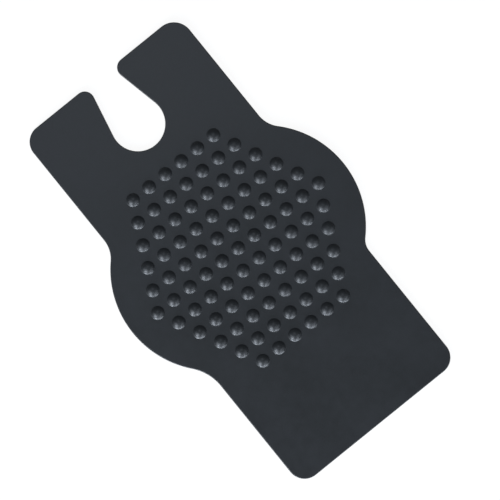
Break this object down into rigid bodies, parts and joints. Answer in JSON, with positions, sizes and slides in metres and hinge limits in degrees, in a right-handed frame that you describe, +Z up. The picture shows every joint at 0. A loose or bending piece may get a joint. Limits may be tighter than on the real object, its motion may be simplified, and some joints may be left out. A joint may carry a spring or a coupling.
{
  "type": "snowboard stomp pad",
  "caption": "Flat soft traction pad with a rounded middle, a staggered field of domed studs, a keyhole notch at one end, and an adhesive back with a peel-off liner.",
  "frame": {"origin": "centre of the pad's rounded middle, on the underside of the release liner, which is the face the pad lies on", "axes": "+Z up out of the studded face, +Y along the pad towards the end with the keyhole notch, +X across the pad"},
  "size_m": [0.1094, 0.18, 0.004],
  "materials": {
    "pad_moulding": "matte moulded, charcoal black",
    "adhesive": "milky, tacky acrylic film",
    "release_paper": "smooth siliconised paper, off-white"
  },
  "bodies": {
    "pad": {"moulded_pad": "pad_moulding", "adhesive_film": "adhesive"},
    "notch_end_liner": {"liner_notch_end": "release_paper"},
    "plain_end_liner": {"liner_plain_end": "release_paper"}
  },
  "joints": [
    {"name": "peel_notch_end", "type": "hinge", "parent": "pad", "child": "notch_end_liner", "pos_m": [0, 0.0882, 0.00006], "axis": [1, 0, 0], "range_deg": [0, 180]},
    {"name": "peel_plain_end", "type": "hinge", "parent": "pad", "child": "plain_end_liner", "pos_m": [0, -0.0902, 0.00006], "axis": [-1, 0, 0], "range_deg": [0, 180]}
  ]
}
